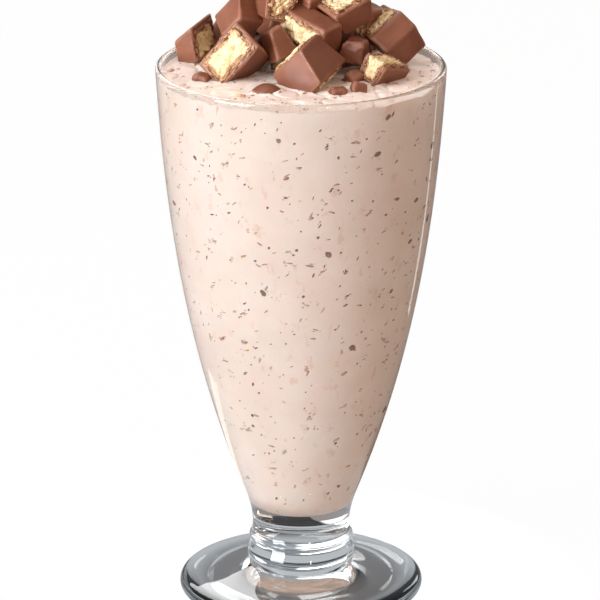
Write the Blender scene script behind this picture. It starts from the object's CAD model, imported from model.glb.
"""A milkshake in a footed soda glass, heaped with broken pieces of cream-filled chocolate bar."""
import math
import random

import bmesh
import bpy
from mathutils import Matrix, Vector, noise
from mathutils.bvhtree import BVHTree


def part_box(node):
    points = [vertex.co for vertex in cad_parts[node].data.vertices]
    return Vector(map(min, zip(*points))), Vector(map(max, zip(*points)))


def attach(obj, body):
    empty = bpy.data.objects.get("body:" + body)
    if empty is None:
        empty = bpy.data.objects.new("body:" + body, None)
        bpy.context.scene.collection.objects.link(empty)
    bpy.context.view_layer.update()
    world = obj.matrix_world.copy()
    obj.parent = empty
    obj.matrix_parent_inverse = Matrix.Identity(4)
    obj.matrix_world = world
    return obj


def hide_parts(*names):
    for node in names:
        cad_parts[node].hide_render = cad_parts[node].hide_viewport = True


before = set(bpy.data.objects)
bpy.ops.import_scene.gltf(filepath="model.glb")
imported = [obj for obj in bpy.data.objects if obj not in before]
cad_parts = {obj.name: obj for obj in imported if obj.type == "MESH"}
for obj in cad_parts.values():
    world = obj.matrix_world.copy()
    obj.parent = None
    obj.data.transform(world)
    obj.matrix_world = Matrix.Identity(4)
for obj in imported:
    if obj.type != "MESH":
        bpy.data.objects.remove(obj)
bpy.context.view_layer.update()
mm = 0.001

# ------------------------------------------------------------------------------------------
# Studio: a pale floor that runs out of sight, a big soft light at the left, a small warm one
# in front, and a strip and cards of light behind, whose images draw the glass's edges. The
# camera stands far off and looks down over the rim.

camera_place, camera_dip, camera_lens, camera_shift = (0, -1.499, 0.600), 18.52, 296.1, -0.0017
camera = bpy.data.objects.new("camera", bpy.data.cameras.new("camera"))
bpy.context.collection.objects.link(camera)
camera.location = camera_place
camera.rotation_euler = (math.radians(90 - camera_dip), 0, 0)
camera.data.lens = camera_lens
camera.data.shift_x = camera_shift
bpy.context.scene.camera = camera
bpy.context.scene.view_settings.view_transform = "Standard"


def set_sockets(node, values):
    """Sets a node's sockets by name, with _ for each space."""
    for key, value in values.items():
        node.inputs[key.replace("_", " ")].default_value = value


def tree_tools(tree):
    """Two short ways to fill a node tree: one adds a node, one links two sockets."""

    def add(kind, **settings):
        node = tree.nodes.new(kind)
        for key, value in settings.items():
            if key[0].isupper():
                set_sockets(node, {key: value})
            else:
                setattr(node, key, value)
        return node

    def link(source, target):
        tree.links.new(source, target)

    return add, link


def new_material(name, **finish):
    """A material, its Principled shader with the plain values set, and its tree's tools."""
    made = bpy.data.materials.new(name)
    made.use_nodes = True
    principled = made.node_tree.nodes["Principled BSDF"]
    set_sockets(principled, finish)
    return made, principled, *tree_tools(made.node_tree)


def area_light(name, place, aim, width, height, power, colour=(1, 1, 1)):
    """A rectangle of light that the camera doesn't see."""
    light = bpy.data.objects.new(name, bpy.data.lights.new(name, "AREA"))
    bpy.context.collection.objects.link(light)
    light.data.shape = "RECTANGLE"
    light.data.size = width
    light.data.size_y = height
    light.data.energy = power
    light.data.color = colour
    light.location = place
    light.rotation_euler = (Vector(aim) - Vector(place)).to_track_quat("-Z", "Y").to_euler()
    light.visible_camera = False
    return light


area_light("key_light", (-0.80, -0.60, 0.30), (0, 0, 0.09), 0.55, 0.7, 18.2, (1, 1.08, 1.17))
area_light("top_light", (-0.25, -0.15, 0.9), (0, 0, 0.18), 0.4, 0.4, 1.2)
area_light("fill_light", (0.42, -1.15, 0.12), (0, 0, 0.08), 0.07, 0.5, 2.4, (1, 0.74, 0.58))
strip = area_light("strip_light", (0.31, 0.31, 0.002), (0.31, 0.31, 1), 0.022, 0.45, 0.045)
strip.rotation_euler = (math.pi, 0, math.radians(-45))  # lies on the floor and shines up
for name, place, size, power in (("left_card", (-0.288, 0.942, 0.770), (0.67, 0.49), 4.5),
                                 ("low_card", (-0.55, 0.85, 0.28), (0.70, 0.26), 0.6),
                                 ("right_card", (0.55, 1.0, 0.5), (0.22, 0.5), 1.2)):
    card = area_light(name, place, (0, 0, 0), *size, power)
    card.visible_diffuse = False

world = bpy.data.worlds.new("studio")
bpy.context.scene.world = world
world.use_nodes = True
sky = world.node_tree.nodes["Background"]
sky.inputs["Strength"].default_value = 0.78
add, link = tree_tools(world.node_tree)
ray = add("ShaderNodeLightPath")
cool_or_warm = add("ShaderNodeMix", data_type="RGBA", A=(0.40, 0.43, 0.47, 1),
                   B=(1, 0.77, 0.65, 1))
link(ray.outputs["Diffuse Depth"], cool_or_warm.inputs["Factor"])
link(cool_or_warm.outputs["Result"], sky.inputs["Color"])

floor_size, floor_back, floor_drop = 12, 3, 0.3 * mm
lit_ring_inner, lit_ring_outer = (0.029, 0.037), (0.070, 0.095)
bpy.ops.mesh.primitive_plane_add(size=floor_size, location=(0, floor_back, -floor_drop))
floor = bpy.context.object
floor.name = "floor"
paper, shader, add, link = new_material("pale_paper", Base_Color=(0.16, 0.16, 0.165, 1),
                                        Roughness=0.8)
ray = add("ShaderNodeLightPath")
spot = add("ShaderNodeNewGeometry")
radius = add("ShaderNodeVectorMath", operation="LENGTH")
link(spot.outputs["Position"], radius.inputs[0])
inner_ring = add("ShaderNodeMapRange", From_Min=lit_ring_inner[0], From_Max=lit_ring_inner[1])
outer_ring = add("ShaderNodeMapRange", From_Min=lit_ring_outer[1], From_Max=lit_ring_outer[0])
link(radius.outputs["Value"], outer_ring.inputs["Value"])
link(radius.outputs["Value"], inner_ring.inputs["Value"])
ring = add("ShaderNodeMath", operation="MULTIPLY")
link(outer_ring.outputs["Result"], ring.inputs[0])
link(inner_ring.outputs["Result"], ring.inputs[1])
ring_light = add("ShaderNodeEmission", Color=(0.9, 0.95, 1, 1), Strength=0.55)
floor_round_foot = add("ShaderNodeMixShader")
link(ring.outputs[0], floor_round_foot.inputs[0])
link(shader.outputs[0], floor_round_foot.inputs[1])
link(ring_light.outputs[0], floor_round_foot.inputs[2])
bounced = add("ShaderNodeEmission", Color=(1, 0.80, 0.69, 1), Strength=0.85)
after_bounce = add("ShaderNodeMixShader")
link(ray.outputs["Diffuse Depth"], after_bounce.inputs[0])
link(floor_round_foot.outputs[0], after_bounce.inputs[1])
link(bounced.outputs[0], after_bounce.inputs[2])
bright = add("ShaderNodeEmission", Strength=1.12)
seen = add("ShaderNodeMath", operation="MULTIPLY")
seen.inputs[1].default_value = 0.86
link(ray.outputs["Is Camera Ray"], seen.inputs[0])
seen_bright = add("ShaderNodeMixShader")
link(seen.outputs[0], seen_bright.inputs[0])
link(after_bounce.outputs[0], seen_bright.inputs[1])
link(bright.outputs[0], seen_bright.inputs[2])
link(seen_bright.outputs[0], paper.node_tree.nodes["Material Output"].inputs["Surface"])
floor.data.materials.append(paper)

card_width, card_lift = 0.095, 0.1 * mm
for name, x, y, deep, tone, glow in (("black_card", 0.026, 0.135, 0.15, 0.02, 0),
                                     ("white_card", -0.072, 0.083, 0.045, 0.6, 0.55)):
    bpy.ops.mesh.primitive_plane_add(size=1, location=(x, y, card_lift))
    card = bpy.context.object
    card.name = name
    card.data.transform(Matrix.Diagonal((card_width, deep, 1, 1)))
    card.visible_camera = card.visible_diffuse = card.visible_shadow = False
    card_paper, *_ = new_material(name, Base_Color=(tone, tone, tone, 1), Specular_IOR_Level=0,
                                  Emission_Color=(1, 0.96, 0.92, 1), Emission_Strength=glow)
    card.data.materials.append(card_paper)

# ------------------------------------------------------------------------------------------
# Glass: one blown and pressed piece, with a wide bowl, a short stem with a ring and a knop,
# and a thick domed foot. The outline of the CAD solid is kept and spun finely, so that the
# wall stays true and bends light without facets.


def only(thing):
    """Selects and activates one object."""
    bpy.ops.object.select_all(action="DESELECT")
    thing.select_set(True)
    bpy.context.view_layer.objects.active = thing


def copy_of(node, name):
    """A welded copy of a CAD node's mesh in a new object."""
    piece = bpy.data.objects.new(name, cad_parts[node].data.copy())
    bpy.context.collection.objects.link(piece)
    piece.data.materials.clear()
    only(piece)
    bpy.ops.object.mode_set(mode="EDIT")
    bpy.ops.mesh.select_all(action="SELECT")
    bpy.ops.mesh.remove_doubles(threshold=0.002 * mm)
    bpy.ops.object.mode_set(mode="OBJECT")
    return piece


def finished(piece, material, slot, *nodes):
    """Gives a piece its material and its place in the part."""
    piece.data.materials.clear()
    piece.data.materials.append(material)
    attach(piece, "root")
    if nodes:
        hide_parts(*nodes)


def on_outline(place):
    """True for a place on the half of a turned solid's outline that lies at +X."""
    return abs(place.y) < 0.01 * mm and place.x > -0.01 * mm


def half_outline(piece):
    """Cuts a turned solid down to the edges of its outline at +X."""
    work = bmesh.new()
    work.from_mesh(piece.data)
    kept = {v for v in work.verts if on_outline(v.co)}
    bmesh.ops.delete(work, geom=list(work.faces), context="FACES_ONLY")
    bmesh.ops.delete(work, geom=[v for v in work.verts if v not in kept], context="VERTS")
    work.to_mesh(piece.data)
    work.free()


def spin_round(piece, steps):
    """Spins a half outline about Z into a closed, outward-facing surface."""
    only(piece)
    bpy.ops.object.mode_set(mode="EDIT")
    bpy.ops.mesh.select_all(action="SELECT")
    bpy.ops.mesh.spin(steps=steps, angle=math.tau, center=(0, 0, 0), axis=(0, 0, 1))
    bpy.ops.mesh.select_all(action="SELECT")
    bpy.ops.mesh.remove_doubles(threshold=0.003 * mm)
    bpy.ops.mesh.normals_make_consistent(inside=False)
    bpy.ops.object.mode_set(mode="OBJECT")
    bpy.ops.object.shade_smooth_by_angle(angle=math.radians(50))


def new_group(name, inputs, outputs):
    """A shader node group with named sockets, its two ends, and its tree's tools."""
    group = bpy.data.node_groups.new(name, "ShaderNodeTree")
    for in_out, sockets in (("INPUT", inputs), ("OUTPUT", outputs)):
        for socket, kind in sockets.items():
            group.interface.new_socket(socket, in_out=in_out, socket_type="NodeSocket" + kind)
    add, link = tree_tools(group)
    return group, add("NodeGroupInput").outputs, add("NodeGroupOutput").inputs, add, link


# Mottle: soft patches that shift a surface between two colours and two roughnesses.
mottle, given, result, add, link = new_group(
    "mottle",
    {"Scale": "Float", "Detail": "Float", "Fine Share": "Float", "Low": "Float",
     "High": "Float", "Dark": "Color", "Light": "Color", "Smoothest": "Float",
     "Roughest": "Float"},
    {"Color": "Color", "Roughness": "Float", "Pattern": "Float"})
coords = add("ShaderNodeTexCoord")
patches = add("ShaderNodeTexNoise")
link(coords.outputs["Object"], patches.inputs["Vector"])
link(given["Scale"], patches.inputs["Scale"])
link(given["Detail"], patches.inputs["Detail"])
link(given["Fine Share"], patches.inputs["Roughness"])
between = add("ShaderNodeMapRange")
link(patches.outputs["Fac"], between.inputs["Value"])
link(given["Low"], between.inputs["From Min"])
link(given["High"], between.inputs["From Max"])
shade = add("ShaderNodeMix", data_type="RGBA")
link(between.outputs["Result"], shade.inputs["Factor"])
link(given["Dark"], shade.inputs["A"])
link(given["Light"], shade.inputs["B"])
dullness = add("ShaderNodeMapRange")
link(patches.outputs["Fac"], dullness.inputs["Value"])
link(given["Smoothest"], dullness.inputs["To Min"])
link(given["Roughest"], dullness.inputs["To Max"])
link(shade.outputs["Result"], result["Color"])
link(dullness.outputs["Result"], result["Roughness"])
link(patches.outputs["Fac"], result["Pattern"])

# Grain: a fine unevenness of the surface.
grain, given, result, add, link = new_group(
    "grain", {"Scale": "Float", "Detail": "Float", "Strength": "Float", "Depth": "Float"},
    {"Normal": "Vector"})
coords = add("ShaderNodeTexCoord")
lumps = add("ShaderNodeTexNoise")
link(coords.outputs["Object"], lumps.inputs["Vector"])
link(given["Scale"], lumps.inputs["Scale"])
link(given["Detail"], lumps.inputs["Detail"])
relief = add("ShaderNodeBump")
link(given["Strength"], relief.inputs["Strength"])
link(given["Depth"], relief.inputs["Distance"])
link(lumps.outputs["Fac"], relief.inputs["Height"])
link(relief.outputs["Normal"], result["Normal"])

glass_steps = 192
glass = copy_of("glass", "soda_glass")
half_outline(glass)
spin_round(glass, glass_steps)

clear_glass, shader, add, link = new_material(
    "clear_glass", Base_Color=(0.985, 0.995, 0.99, 1), Transmission_Weight=1, IOR=1.5)
haze = add("ShaderNodeGroup", node_tree=mottle, Scale=60.0, Detail=3.0, Fine_Share=0.5,
           Smoothest=0.0, Roughest=0.02)
link(haze.outputs["Roughness"], shader.inputs["Roughness"])
waves = add("ShaderNodeGroup", node_tree=grain, Scale=22.0, Detail=0.0, Strength=0.012,
            Depth=0.4 * mm)
link(waves.outputs["Normal"], shader.inputs["Normal"])
finished(glass, clear_glass, "glass", "glass")

# ------------------------------------------------------------------------------------------
# Milkshake: a thick pale drink that fills the bowl. Its side reaches a little into the
# glass wall, so no air shows between them. Its top is soft: it climbs the wall and the
# pieces that stand in it, and lies in low folds between them.


def wall_line(node):
    """Radius and height along the inner wall that a turned solid fills, from the bottom up."""
    seam = sorted((v.co.z, v.co.x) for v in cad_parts[node].data.vertices
                  if on_outline(v.co))
    points = []
    for z, r in seam:
        if not points or (r > points[-1][0] + 0.05 * mm and z > points[-1][1]):
            points.append((r, z))
    return points


def heap_surface():
    """All the bar pieces' CAD surfaces as one tree, for finding what lies near them."""
    corners, faces = [], []
    for node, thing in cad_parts.items():
        if node not in ("glass", "milkshake"):
            first = len(corners)
            corners += [v.co.copy() for v in thing.data.vertices]
            faces += [[first + i for i in p.vertices] for p in thing.data.polygons]
    return BVHTree.FromPolygons(corners, faces)


drink_wall = wall_line("milkshake")
level = drink_wall[-1][1]
drink_r = drink_wall[-1][0]
into_wall = 0.3 * mm
heap_tree = heap_surface()


def drink_height(x, y):
    """Height of the drink's top: folds, and a climb at the wall and round each piece."""
    r = math.hypot(x, y)
    here = Vector((x, y, level))
    near = heap_tree.find_nearest(here)[3] or 1.0
    climb = 0.4 * math.exp(-(near / (1.1 * mm)) ** 2)
    climb += 0.5 * math.exp(-((drink_r - r) / (1.0 * mm)) ** 2)
    crease = abs(noise.noise(here * 120 + Vector((3, 1, 0))))
    folds = 0.45 * noise.noise(here * 75) + 0.3 * noise.noise(here * 230) \
        - 0.5 * math.exp(-(crease / 0.06) ** 2) + 0.12 * noise.noise(here * 620)
    middle = 0.7 * (1 - (r / drink_r) ** 2)
    return level + (middle + folds + climb) * mm


bottom = drink_wall[1][1]
outline = [(r + into_wall if r > 2 * mm else r, z - (into_wall if z < bottom else 0))
           for r, z in drink_wall]
rings, drink_steps = 86, 384
outline += [((drink_r + into_wall) * (1 - i / rings), level) for i in range(1, rings + 1)]
line = bmesh.new()
chain = [line.verts.new((r, 0, z)) for r, z in outline]
for first, second in zip(chain, chain[1:]):
    line.edges.new((first, second))
drink = bpy.data.objects.new("thick_milkshake", bpy.data.meshes.new("thick_milkshake"))
bpy.context.collection.objects.link(drink)
line.to_mesh(drink.data)
line.free()
spin_round(drink, drink_steps)
for v in drink.data.vertices:
    if v.co.z > level - 0.01 * mm:
        v.co.z = drink_height(v.co.x, v.co.y)

milk, shader, add, link = new_material(
    "flecked_milkshake", Subsurface_Weight=0.35, Subsurface_Radius=(1.0, 0.55, 0.4),
    Subsurface_Scale=2.5 * mm, Specular_IOR_Level=0.35)
clouds = add("ShaderNodeGroup", node_tree=mottle, Scale=55.0, Detail=4.0, Fine_Share=0.6,
             Low=0.3, High=0.7, Dark=(0.825, 0.72, 0.64, 1), Light=(0.895, 0.81, 0.75, 1),
             Smoothest=0.35, Roughest=0.55)
link(clouds.outputs["Roughness"], shader.inputs["Roughness"])
coords = add("ShaderNodeTexCoord")
stretch = add("ShaderNodeMapping", Scale=(1, 1, 0.55), Rotation=(0.3, 0.25, 0))
link(coords.outputs["Object"], stretch.inputs["Vector"])
wobble = add("ShaderNodeTexNoise", Scale=700.0, Detail=2.0)
link(coords.outputs["Object"], wobble.inputs["Vector"])
bent = add("ShaderNodeVectorMath", operation="MULTIPLY_ADD")
bent.inputs[1].default_value = (2.2 * mm,) * 3
link(wobble.outputs["Color"], bent.inputs[0])
link(stretch.outputs["Vector"], bent.inputs[2])
smudges = add("ShaderNodeTexNoise", Scale=270.0, Detail=3.0, Roughness=0.6)
link(bent.outputs["Vector"], smudges.inputs["Vector"])
smudge_amount = add("ShaderNodeMapRange", From_Min=0.60, From_Max=0.70, To_Min=0.0, To_Max=0.4)
link(smudges.outputs["Fac"], smudge_amount.inputs["Value"])
smudged = add("ShaderNodeMix", data_type="RGBA", B=(0.70, 0.47, 0.34, 1))
link(smudge_amount.outputs["Result"], smudged.inputs["Factor"])
link(clouds.outputs["Color"], smudged.inputs["A"])
specks = add("ShaderNodeTexVoronoi", Scale=520.0)
link(bent.outputs["Vector"], specks.inputs["Vector"])
speck_size = add("ShaderNodeSeparateColor")
link(specks.outputs["Color"], speck_size.inputs["Color"])
rare = add("ShaderNodeMapRange", From_Min=0.88, From_Max=1.0, To_Min=0.0, To_Max=0.32)
link(speck_size.outputs["Red"], rare.inputs["Value"])
dot = add("ShaderNodeMath", operation="LESS_THAN")
link(specks.outputs["Distance"], dot.inputs[0])
link(rare.outputs["Result"], dot.inputs[1])
speck_tone = add("ShaderNodeMix", data_type="RGBA", A=(0.52, 0.34, 0.25, 1),
                 B=(0.74, 0.57, 0.46, 1))
link(speck_size.outputs["Green"], speck_tone.inputs["Factor"])
spotted = add("ShaderNodeMix", data_type="RGBA")
link(dot.outputs[0], spotted.inputs["Factor"])
link(smudged.outputs["Result"], spotted.inputs["A"])
link(speck_tone.outputs["Result"], spotted.inputs["B"])
link(spotted.outputs["Result"], shader.inputs["Base Color"])
foam = add("ShaderNodeGroup", node_tree=grain, Scale=900.0, Detail=3.0, Strength=0.25,
           Depth=0.2 * mm)
link(foam.outputs["Normal"], shader.inputs["Normal"])
finished(drink, milk, "milkshake", "milkshake")

# ------------------------------------------------------------------------------------------
# Flecks: bits of chocolate, wafer and toffee that the blender left in the drink. They lie
# in its surface against the glass. Each kind is one joined piece: a small rounded bit is
# modelled once, then copied, stretched and roughened at every place.


def wall_spot(angle, height):
    """A place on the drink's side, with the ways out, round and up along the wall."""
    for (r0, z0), (r1, z1) in zip(drink_wall, drink_wall[1:]):
        if z0 <= height <= z1:
            break
    r = r0 + (r1 - r0) * (height - z0) / (z1 - z0)
    outward = Vector((math.cos(angle), math.sin(angle), 0))
    round_way = Vector((-math.sin(angle), math.cos(angle), 0))
    up = (outward * (r1 - r0) + Vector((0, 0, z1 - z0))).normalized()
    out = round_way.cross(up).normalized()
    return outward * r + Vector((0, 0, height)), out, round_way, up


def bits(name, subdivisions, spots, material, slot, rough, angular=False):
    """Joins one bit for each spot, which is a centre, three axes and three half sizes."""
    bpy.ops.mesh.primitive_ico_sphere_add(subdivisions=subdivisions, radius=1)
    pattern = bpy.context.object
    shape = [v.co.copy() for v in pattern.data.vertices]
    sides = [tuple(p.vertices) for p in pattern.data.polygons]
    bpy.data.objects.remove(pattern)
    corners, faces = [], []
    for centre, axes, sizes in spots:
        first = len(corners)
        for v in shape:
            swell = 1 + rough * chance.uniform(-1, 1)
            corners.append(centre + sum((axes[i] * (v[i] * sizes[i] * swell)
                                         for i in range(3)), Vector()))
        faces += [tuple(first + i for i in side) for side in sides]
    mesh = bpy.data.meshes.new(name)
    mesh.from_pydata(corners, [], faces)
    if not angular:
        mesh.shade_smooth()
    joined = bpy.data.objects.new(name, mesh)
    bpy.context.collection.objects.link(joined)
    finished(joined, material, slot)
    return joined


def fleck_material(name, dark, light):
    """Soaked, dull bits, each a little different from the next."""
    made, shader, add, link = new_material(name)
    soaked = add("ShaderNodeGroup", node_tree=mottle, Scale=260.0, Detail=2.0,
                 Fine_Share=0.5, Low=0.35, High=0.65, Dark=(*dark, 1), Light=(*light, 1),
                 Smoothest=0.45, Roughest=0.7)
    link(soaked.outputs["Color"], shader.inputs["Base Color"])
    link(soaked.outputs["Roughness"], shader.inputs["Roughness"])
    return made


def side_spots(count, length, slimness, thick, tilt):
    """Spots strewn evenly over the drink's side. Lengths are in mm, tilts in degrees."""
    spots = []
    while len(spots) < count:
        height = chance.uniform(lowest_fleck, highest_fleck)
        place, out, round_way, up = wall_spot(chance.uniform(0, math.tau), height)
        if chance.random() > math.hypot(place.x, place.y) / drink_r:
            continue
        lean = math.radians(chance.uniform(*tilt))
        long_way = round_way * math.cos(lean) + up * math.sin(lean)
        cross_way = out.cross(long_way)
        half = chance.uniform(*length) * mm / 2
        centre = place + out * (into_wall - sunk_share * thick * mm)
        spots.append((centre, (long_way, cross_way, out),
                      (half, half * chance.uniform(*slimness), thick * mm)))
    return spots


def clusters(spots, low, high, reach, shrink):
    """From low to high smaller bits round each spot, up to reach mm from it."""
    near = []
    for centre, axes, sizes in spots:
        for _ in range(chance.randint(low, high)):
            shift = (axes[0] * chance.uniform(-reach, reach)
                     + axes[1] * chance.uniform(-reach, reach) * 0.6) * mm
            scale = chance.uniform(*shrink)
            near.append((centre + shift, axes, (sizes[0] * scale, sizes[1] * scale, sizes[2])))
    return near


chance = random.Random(7)
lowest_fleck, highest_fleck = 34 * mm, level - 1.5 * mm
sunk_share = 0.2
cocoa = fleck_material("soaked_cocoa", (0.17, 0.10, 0.082), (0.33, 0.215, 0.175))
rust = fleck_material("soaked_milk_chocolate", (0.40, 0.21, 0.15), (0.60, 0.39, 0.30))
amber = fleck_material("toffee_grains", (0.62, 0.33, 0.14), (0.74, 0.47, 0.25))
ghost = fleck_material("sunk_grains", (0.47, 0.35, 0.29), (0.62, 0.49, 0.42))
bits("cocoa_lumps", 2, side_spots(60, (1.4, 3.0), (0.55, 0.85), 0.28, (-60, 60)), cocoa,
     "chocolate", 0.25)
bits("cocoa_flecks", 1, side_spots(400, (0.5, 1.3), (0.4, 0.9), 0.16, (10, 80)), cocoa,
     "chocolate", 0.25)
shavings = side_spots(120, (0.8, 2.2), (0.18, 0.4), 0.14, (5, 75))
bits("cocoa_shavings", 1, shavings + clusters(shavings[:50], 1, 3, 1.3, (0.3, 0.6)), cocoa,
     "chocolate", 0.3)
red_spots = side_spots(110, (1.0, 3.0), (0.14, 0.35), 0.14, (-25, 40))
bits("chocolate_shreds", 1, red_spots + clusters(red_spots, 2, 5, 1.5, (0.3, 0.6)), rust,
     "chocolate", 0.3)
bits("toffee_grains", 1, side_spots(110, (0.6, 2.4), (0.2, 0.45), 0.13, (-30, 40)), amber,
     "filling", 0.25)
faint = side_spots(420, (0.7, 2.6), (0.18, 0.6), 0.1, (-20, 75))
bits("sunk_grains", 1, faint + clusters(faint[:150], 1, 3, 1.6, (0.4, 0.7)), ghost,
     "milkshake", 0.3)

# ------------------------------------------------------------------------------------------
# Bar pieces: milk chocolate shells, moulded smooth outside and torn into thin layers where
# the knife went through, each round a block of crumbly cream. Each CAD solid is copied,
# remade in fine even faces, softened, and then roughened where it was cut.


def apply_modifier(piece, kind, **settings):
    """Gives a piece one modifier and applies it."""
    only(piece)
    modifier = piece.modifiers.new(kind.lower(), kind)
    for key, value in settings.items():
        setattr(modifier, key, value)
    bpy.ops.object.modifier_apply(modifier=modifier.name)


def fine_copy(node, name, voxel, softness):
    """A copy of a CAD node in small even faces, with its edges softened."""
    piece = copy_of(node, name)
    apply_modifier(piece, "REMESH", mode="VOXEL", voxel_size=voxel)
    apply_modifier(piece, "SMOOTH", factor=0.5, iterations=softness)
    return piece


def surface_of(node):
    """A CAD node's surface as a tree, for finding the nearest place on it."""
    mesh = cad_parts[node].data
    return BVHTree.FromPolygons([v.co.copy() for v in mesh.vertices],
                                [list(p.vertices) for p in mesh.polygons])


def keep_numbers(piece, name, numbers):
    """Stores one number for each corner of a mesh, for its material to read."""
    store = piece.data.attributes.new(name, "FLOAT", "POINT")
    store.data.foreach_set("value", numbers)


def edge_sharpness(piece):
    """How far each corner of a mesh stands out from its neighbours, from 0 to 1."""
    sharpest = 0.03 * mm
    mesh = piece.data
    total = [Vector() for v in mesh.vertices]
    count = [0] * len(mesh.vertices)
    for e in mesh.edges:
        a, b = e.vertices
        total[a] += mesh.vertices[b].co
        total[b] += mesh.vertices[a].co
        count[a] += 1
        count[b] += 1
    rise = [(v.co - total[v.index] / max(count[v.index], 1)).dot(v.normal)
            for v in mesh.vertices]
    return [min(1.0, max(0.0, r / sharpest)) for r in rise]


def smooth_piece(piece):
    """Shades a whole piece smooth."""
    only(piece)
    bpy.ops.object.shade_smooth()


def ragged(piece, depths, amount):
    """Moves each corner along its normal by what amount() gives for its place and depth."""
    moves = [v.normal * amount(v.co, d) for v, d in zip(piece.data.vertices, depths)]
    for v, move in zip(piece.data.vertices, moves):
        v.co += move


shell_wall = 1.4 * mm
uncut_depth = 3 * mm
leaf_spacing = 0.62  # in millimetres
smooth_from = 0.86 * shell_wall
side_facing, side_blend = 0.55, 0.3


def cut_depth(corner, filling_tree):
    """How far a corner of the shell lies from the filling, or uncut_depth where the shell's
    surface runs alongside the filling and so was never cut."""
    nearest, _, _, distance = filling_tree.find_nearest(corner.co)
    facing = abs(corner.normal.dot((corner.co - nearest).normalized()))
    uncut = min(1.0, max(0.0, (facing - side_facing) / side_blend))
    return distance + (uncut_depth - distance) * uncut


def torn(place, depth):
    """Chocolate near a cut breaks into thin leaves that run round the filling."""
    if depth > smooth_from:
        return (0.22 + 0.5 * noise.noise(place * 95) + 0.12 * noise.noise(place * 280)) * mm
    wander = 0.3 * noise.noise(place * 380)
    ripple = math.sin((depth / mm + wander) * math.tau / leaf_spacing)
    return (0.16 * ripple + 0.45 * noise.noise(place * 430) + 0.1) * mm


def broken(place, depth):
    """A piece that was never cut but snapped off is rough all over."""
    rough = 0.6 * noise.noise(place * 300) + 0.25 * noise.noise(place * 750)
    return torn(place, depth) + rough * mm


def crumbled(place, _):
    """Cream breaks off in soft crumbs, and swells a little out of the shell."""
    lump = 0.7 * noise.noise(place * 260) + 0.5 * noise.noise(place * 640)
    pit = 0.9 * math.exp(-(noise.noise(place * 480 + Vector((7, 2, 5))) / 0.09) ** 2)
    return (0.6 + lump - pit) * mm


# Leaves: thin layers that run round the filling at a distance that wanders with a pattern.
leaves, given, result, add, link = new_group(
    "leaves",
    {"Distance": "Float", "Pattern": "Float", "Wander": "Float", "Spacing": "Float",
     "Dark": "Color", "Light": "Color"},
    {"Color": "Color"})
wandering = add("ShaderNodeMath", operation="MULTIPLY_ADD")
link(given["Pattern"], wandering.inputs[0])
link(given["Wander"], wandering.inputs[1])
link(given["Distance"], wandering.inputs[2])
steepness = add("ShaderNodeMath", operation="DIVIDE")
steepness.inputs[0].default_value = math.tau
link(given["Spacing"], steepness.inputs[1])
turns = add("ShaderNodeMath", operation="MULTIPLY")
link(wandering.outputs[0], turns.inputs[0])
link(steepness.outputs[0], turns.inputs[1])
wave = add("ShaderNodeMath", operation="SINE")
link(turns.outputs[0], wave.inputs[0])
height = add("ShaderNodeMapRange", From_Min=-1.0, From_Max=1.0)
link(wave.outputs[0], height.inputs["Value"])
shade = add("ShaderNodeMix", data_type="RGBA")
link(height.outputs["Result"], shade.inputs["Factor"])
link(given["Dark"], shade.inputs["A"])
link(given["Light"], shade.inputs["B"])
link(shade.outputs["Result"], result["Color"])

chocolate, shader, add, link = new_material(
    "milk_chocolate", Subsurface_Weight=0.12, Subsurface_Radius=(1.0, 0.4, 0.25),
    Subsurface_Scale=1.5 * mm, Specular_IOR_Level=0.4)
smooth_side = add("ShaderNodeGroup", node_tree=mottle, Scale=140.0, Detail=4.0,
                  Fine_Share=0.55, Low=0.3, High=0.75, Dark=(0.165, 0.055, 0.027, 1),
                  Light=(0.220, 0.079, 0.041, 1), Smoothest=0.38, Roughest=0.55)
link(smooth_side.outputs["Roughness"], shader.inputs["Roughness"])
edge = add("ShaderNodeAttribute", attribute_name="edge")
edge_amount = add("ShaderNodeMapRange", From_Min=0.35, From_Max=1.0, To_Min=0.0, To_Max=0.45)
link(edge.outputs["Fac"], edge_amount.inputs["Value"])
worn = add("ShaderNodeMix", data_type="RGBA", B=(0.34, 0.16, 0.10, 1))
link(edge_amount.outputs["Result"], worn.inputs["Factor"])
link(smooth_side.outputs["Color"], worn.inputs["A"])
coords = add("ShaderNodeTexCoord")
drift = add("ShaderNodeTexNoise", Scale=420.0, Detail=3.0)
link(coords.outputs["Object"], drift.inputs["Vector"])
depth = add("ShaderNodeAttribute", attribute_name="depth")
cut_side = add("ShaderNodeGroup", node_tree=leaves, Wander=0.9, Spacing=0.5,
               Dark=(0.11, 0.036, 0.018, 1), Light=(0.46, 0.235, 0.135, 1))
link(depth.outputs["Fac"], cut_side.inputs["Distance"])
link(drift.outputs["Fac"], cut_side.inputs["Pattern"])
cut = add("ShaderNodeMapRange", From_Min=1.3, From_Max=1.1, To_Min=0.0, To_Max=1.0)
link(depth.outputs["Fac"], cut.inputs["Value"])
cut_or_smooth = add("ShaderNodeMix", data_type="RGBA")
link(cut.outputs["Result"], cut_or_smooth.inputs["Factor"])
link(worn.outputs["Result"], cut_or_smooth.inputs["A"])
link(cut_side.outputs["Color"], cut_or_smooth.inputs["B"])
link(cut_or_smooth.outputs["Result"], shader.inputs["Base Color"])
fine_grain = add("ShaderNodeGroup", node_tree=grain, Scale=700.0, Detail=4.0, Strength=0.3,
                 Depth=0.15 * mm)
link(fine_grain.outputs["Normal"], shader.inputs["Normal"])

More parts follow.
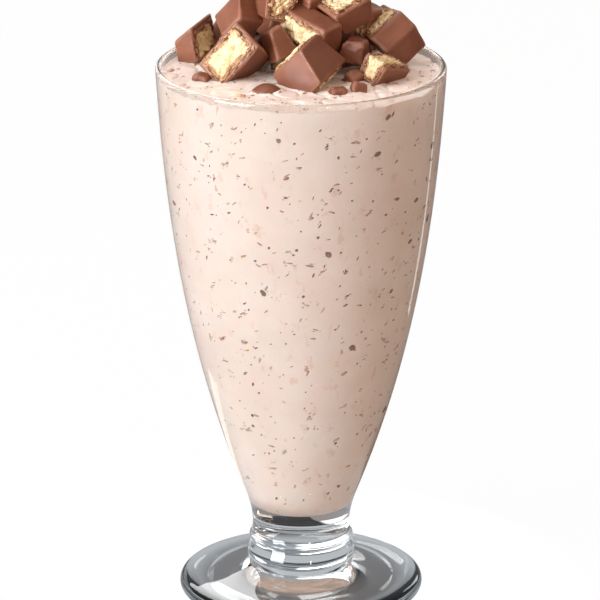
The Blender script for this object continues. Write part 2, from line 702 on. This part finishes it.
cream, shader, add, link = new_material(
    "crumbly_cream", Subsurface_Weight=0.3, Subsurface_Radius=(1.0, 0.7, 0.35),
    Subsurface_Scale=1.5 * mm, Specular_IOR_Level=0.2, Roughness=0.75)
crumbly = add("ShaderNodeGroup", node_tree=mottle, Scale=330.0, Detail=5.0, Fine_Share=0.65,
              Low=0.3, High=0.55, Dark=(0.66, 0.49, 0.26, 1), Light=(0.76, 0.61, 0.38, 1))
coords = add("ShaderNodeTexCoord")
toffee = add("ShaderNodeTexNoise", Scale=620.0, Detail=2.0)
link(coords.outputs["Object"], toffee.inputs["Vector"])
toffee_amount = add("ShaderNodeMapRange", From_Min=0.66, From_Max=0.72, To_Min=0.0, To_Max=0.85)
link(toffee.outputs["Fac"], toffee_amount.inputs["Value"])
flecked = add("ShaderNodeMix", data_type="RGBA", B=(0.62, 0.31, 0.07, 1))
link(toffee_amount.outputs["Result"], flecked.inputs["Factor"])
link(crumbly.outputs["Color"], flecked.inputs["A"])
shell_gap = add("ShaderNodeAttribute", attribute_name="depth")
patches = add("ShaderNodeTexNoise", Scale=130.0, Detail=3.0, Roughness=0.7)
link(coords.outputs["Object"], patches.inputs["Vector"])
smear = add("ShaderNodeMath", operation="MULTIPLY_ADD")
smear.inputs[1].default_value = -4.5
link(patches.outputs["Fac"], smear.inputs[0])
link(shell_gap.outputs["Fac"], smear.inputs[2])
smear_amount = add("ShaderNodeMapRange", From_Min=-1.35, From_Max=-1.75, To_Min=0.0, To_Max=0.95)
link(smear.outputs[0], smear_amount.inputs["Value"])
smear_tone = add("ShaderNodeGroup", node_tree=leaves, Wander=1.3, Spacing=0.42,
                 Dark=(0.17, 0.065, 0.03, 1), Light=(0.60, 0.36, 0.19, 1))
link(shell_gap.outputs["Fac"], smear_tone.inputs["Distance"])
link(crumbly.outputs["Pattern"], smear_tone.inputs["Pattern"])
smeared = add("ShaderNodeMix", data_type="RGBA")
link(smear_amount.outputs["Result"], smeared.inputs["Factor"])
link(flecked.outputs["Result"], smeared.inputs["A"])
link(smear_tone.outputs["Color"], smeared.inputs["B"])
link(smeared.outputs["Result"], shader.inputs["Base Color"])
crumbs = add("ShaderNodeGroup", node_tree=grain, Scale=1500.0, Detail=3.0, Strength=0.8,
             Depth=0.7 * mm)
link(crumbs.outputs["Normal"], shader.inputs["Normal"])

shell_end, filling_end = "_coat", "_filling"
filled = [n[:-len(shell_end)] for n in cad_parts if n.endswith(shell_end)]
plain = [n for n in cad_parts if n.startswith(("chunk", "chip", "crumb"))
         and not n.endswith((shell_end, filling_end))]
shell_faces, cream_faces, drop_faces = 0.42 * mm, 0.34 * mm, 0.35 * mm
flakes_each = 60
flake_thick = 0.1 * mm

flakes = []
for name in filled:
    shell = fine_copy(name + shell_end, name + "_shell", shell_faces, 2)
    block = fine_copy(name + filling_end, name + "_cream", cream_faces, 1)
    shell_tree, block_tree = surface_of(name + shell_end), surface_of(name + filling_end)
    depths = [cut_depth(v, block_tree) for v in shell.data.vertices]
    gaps = [shell_tree.find_nearest(v.co)[3] for v in block.data.vertices]
    keep_numbers(shell, "edge", edge_sharpness(shell))
    at_cut = [v for v, d in zip(shell.data.vertices, depths) if d < 0.8 * shell_wall]
    for v in chance.sample(at_cut, min(len(at_cut), flakes_each)):
        off_cream = (v.co - block_tree.find_nearest(v.co)[0]).normalized()
        along = v.normal.cross(off_cream).normalized()
        out = (v.normal + off_cream * chance.uniform(-0.5, 0.9)).normalized()
        sizes = (chance.uniform(0.4, 1.3) * mm, chance.uniform(0.25, 0.6) * mm, flake_thick)
        flakes.append((v.co + v.normal * flake_thick, (along, out, along.cross(out)), sizes))
    ragged(shell, depths, torn)
    ragged(block, gaps, crumbled)
    keep_numbers(shell, "depth", [d / mm for d in depths])
    keep_numbers(block, "depth", [g / mm for g in gaps])
    smooth_piece(shell)
    smooth_piece(block)
    finished(shell, chocolate, "chocolate", name + shell_end)
    finished(block, cream, "filling", name + filling_end)

flake_piece = bits("chocolate_flakes", 1, flakes, chocolate, "chocolate", 0.3)
corners = len(flake_piece.data.vertices)
flake_depths = [chance.uniform(0.1, 0.9) for _ in flakes]
keep_numbers(flake_piece, "depth",
             [d for d in flake_depths for _ in range(corners // len(flakes))])
keep_numbers(flake_piece, "edge", [0.0] * corners)

for name in plain:
    lump = fine_copy(name, name + "_lump", shell_faces, 2)
    keep_numbers(lump, "edge", edge_sharpness(lump))
    depths = [uncut_depth] * len(lump.data.vertices)
    ragged(lump, depths, broken if name.startswith(("chip", "crumb", "chunk_small")) else torn)
    keep_numbers(lump, "depth", [d / mm for d in depths])
    smooth_piece(lump)
    finished(lump, chocolate, "chocolate", name)

# ------------------------------------------------------------------------------------------
# Chocolate drop: a small moulded drop of milk chocolate, smooth all over and half sunk in
# the drink. Its two ends are drawn out to blunt points, and its far side is a little lower.

drop = fine_copy("drop", "sunk_drop", drop_faces, 3)
drawn_out, lifted, leaning, flattened = 0.22, 0.04, 0.12, 0.25
drop_low, drop_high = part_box("drop")
drop_middle, drop_half = (drop_low + drop_high) / 2, (drop_high.x - drop_low.x) / 2
for v in drop.data.vertices:
    out = (v.co - drop_middle) / drop_half
    v.co.x += drawn_out * out.x * abs(out.x) ** 5 * drop_half
    v.co.z += (lifted - leaning * out.y - flattened * max(out.z, 0)) * drop_half
keep_numbers(drop, "edge", edge_sharpness(drop))
keep_numbers(drop, "depth", [uncut_depth / mm] * len(drop.data.vertices))
smooth_piece(drop)
finished(drop, chocolate, "chocolate", "drop")

# ------------------------------------------------------------------------------------------
# Crumbs and specks on top: splinters of chocolate, grains of cream and toffee that fell from
# the pieces, and the drink's own flecks where they reach its surface.


def lying(x, y, length, width, height, lift=0.0):
    """A bit that lies on the drink's top at a random turn, with its place in millimetres."""
    turn = chance.uniform(0, math.tau)
    tilt = Vector((chance.uniform(-0.3, 0.3), chance.uniform(-0.3, 0.3), 1)).normalized()
    along = Vector((math.cos(turn), math.sin(turn), 0)).cross(tilt).normalized()
    top = drink_height(x * mm, y * mm) + (lift + 0.15 * height) * mm
    return (Vector((x * mm, y * mm, top)), (along, tilt.cross(along), tilt),
            (length * mm / 2, width * mm / 2, height * mm / 2))


def strewn(count, low, high, size, flat):
    """Bits on the free top, low to high millimetres from the pieces."""
    from_wall = 0.6
    spots = []
    while len(spots) < count:
        r = drink_r / mm * math.sqrt(chance.random()) - from_wall
        turn = chance.uniform(0, math.tau)
        x, y = r * math.cos(turn), r * math.sin(turn)
        gap = heap_tree.find_nearest(Vector((x * mm, y * mm, drink_height(x * mm, y * mm))))[3]
        if low <= gap / mm <= high:
            length = chance.uniform(*size)
            spots.append(lying(x, y, length, length * chance.uniform(0.4, 0.9), length * flat))
    return spots


near_pieces = strewn(230, 0.1, 2.2, (0.3, 1.5), 0.5)
chocolate_share = 150
splinters = [lying(-41.3, 3, 2.4, 1.5, 1), lying(-38.8, 4.4, 1.1, 0.8, 0.6),
             lying(-37, -12.4, 2.2, 1, 0.4), lying(37.4, 1.2, 1.4, 0.8, 0.6)]
# Four lumps lie between the front pieces, and four fill the dark gaps farther back.
rubble = [lying(15, -5.5, 3, 2.2, 2, 0.8), lying(18.6, -6.4, 2.6, 1.8, 1.8, 0.5),
          lying(13.6, -9, 2.4, 1.5, 1.4), lying(20.4, -3.6, 2.8, 2, 1.8, 1),
          lying(-13, 21, 6, 5, 5, 2.2), lying(-11.6, 25, 5, 4, 4.5, 1.6),
          lying(-14.6, 24, 5, 4, 4, 2), lying(-12.6, 9, 5, 4, 5, 7)]
rubble_piece = bits("chocolate_rubble", 3, rubble, chocolate, "chocolate", 0.12)
half_torn, half_worn = 1.25, 0.5
keep_numbers(rubble_piece, "depth", [half_torn] * len(rubble_piece.data.vertices))
keep_numbers(rubble_piece, "edge", [half_worn] * len(rubble_piece.data.vertices))
bits("chocolate_crumbs", 2, splinters + near_pieces[:chocolate_share], rust, "chocolate", 0.3,
     True)
grains = [lying(16.8, -4.2, 2.6, 1.9, 1.8, 1.2), lying(14.4, -7.2, 2.2, 1.6, 1.4, 0.6),
          lying(19.6, -8.4, 2, 1.4, 1.2), lying(16.5, -18.6, 1.6, 1.1, 1)]
bits("cream_crumbs", 2, grains + near_pieces[chocolate_share:], cream, "filling", 0.3)
toffee_bits = [lying(-19.3, -25.8, 2.6, 1.7, 1.1), lying(-17.6, -26.6, 1.1, 0.8, 0.6)]
bits("toffee_crumbs", 2, toffee_bits, amber, "filling", 0.3)
bits("top_specks", 1, strewn(80, 1.0, 30.0, (0.3, 1.1), 0.2), cocoa, "chocolate", 0.3)
bits("top_shreds", 1, strewn(60, 1.0, 30.0, (0.4, 1.6), 0.15), rust, "chocolate", 0.3)
bits("top_grains", 1, strewn(160, 1.0, 30.0, (0.5, 2.0), 0.12), ghost, "milkshake", 0.3)
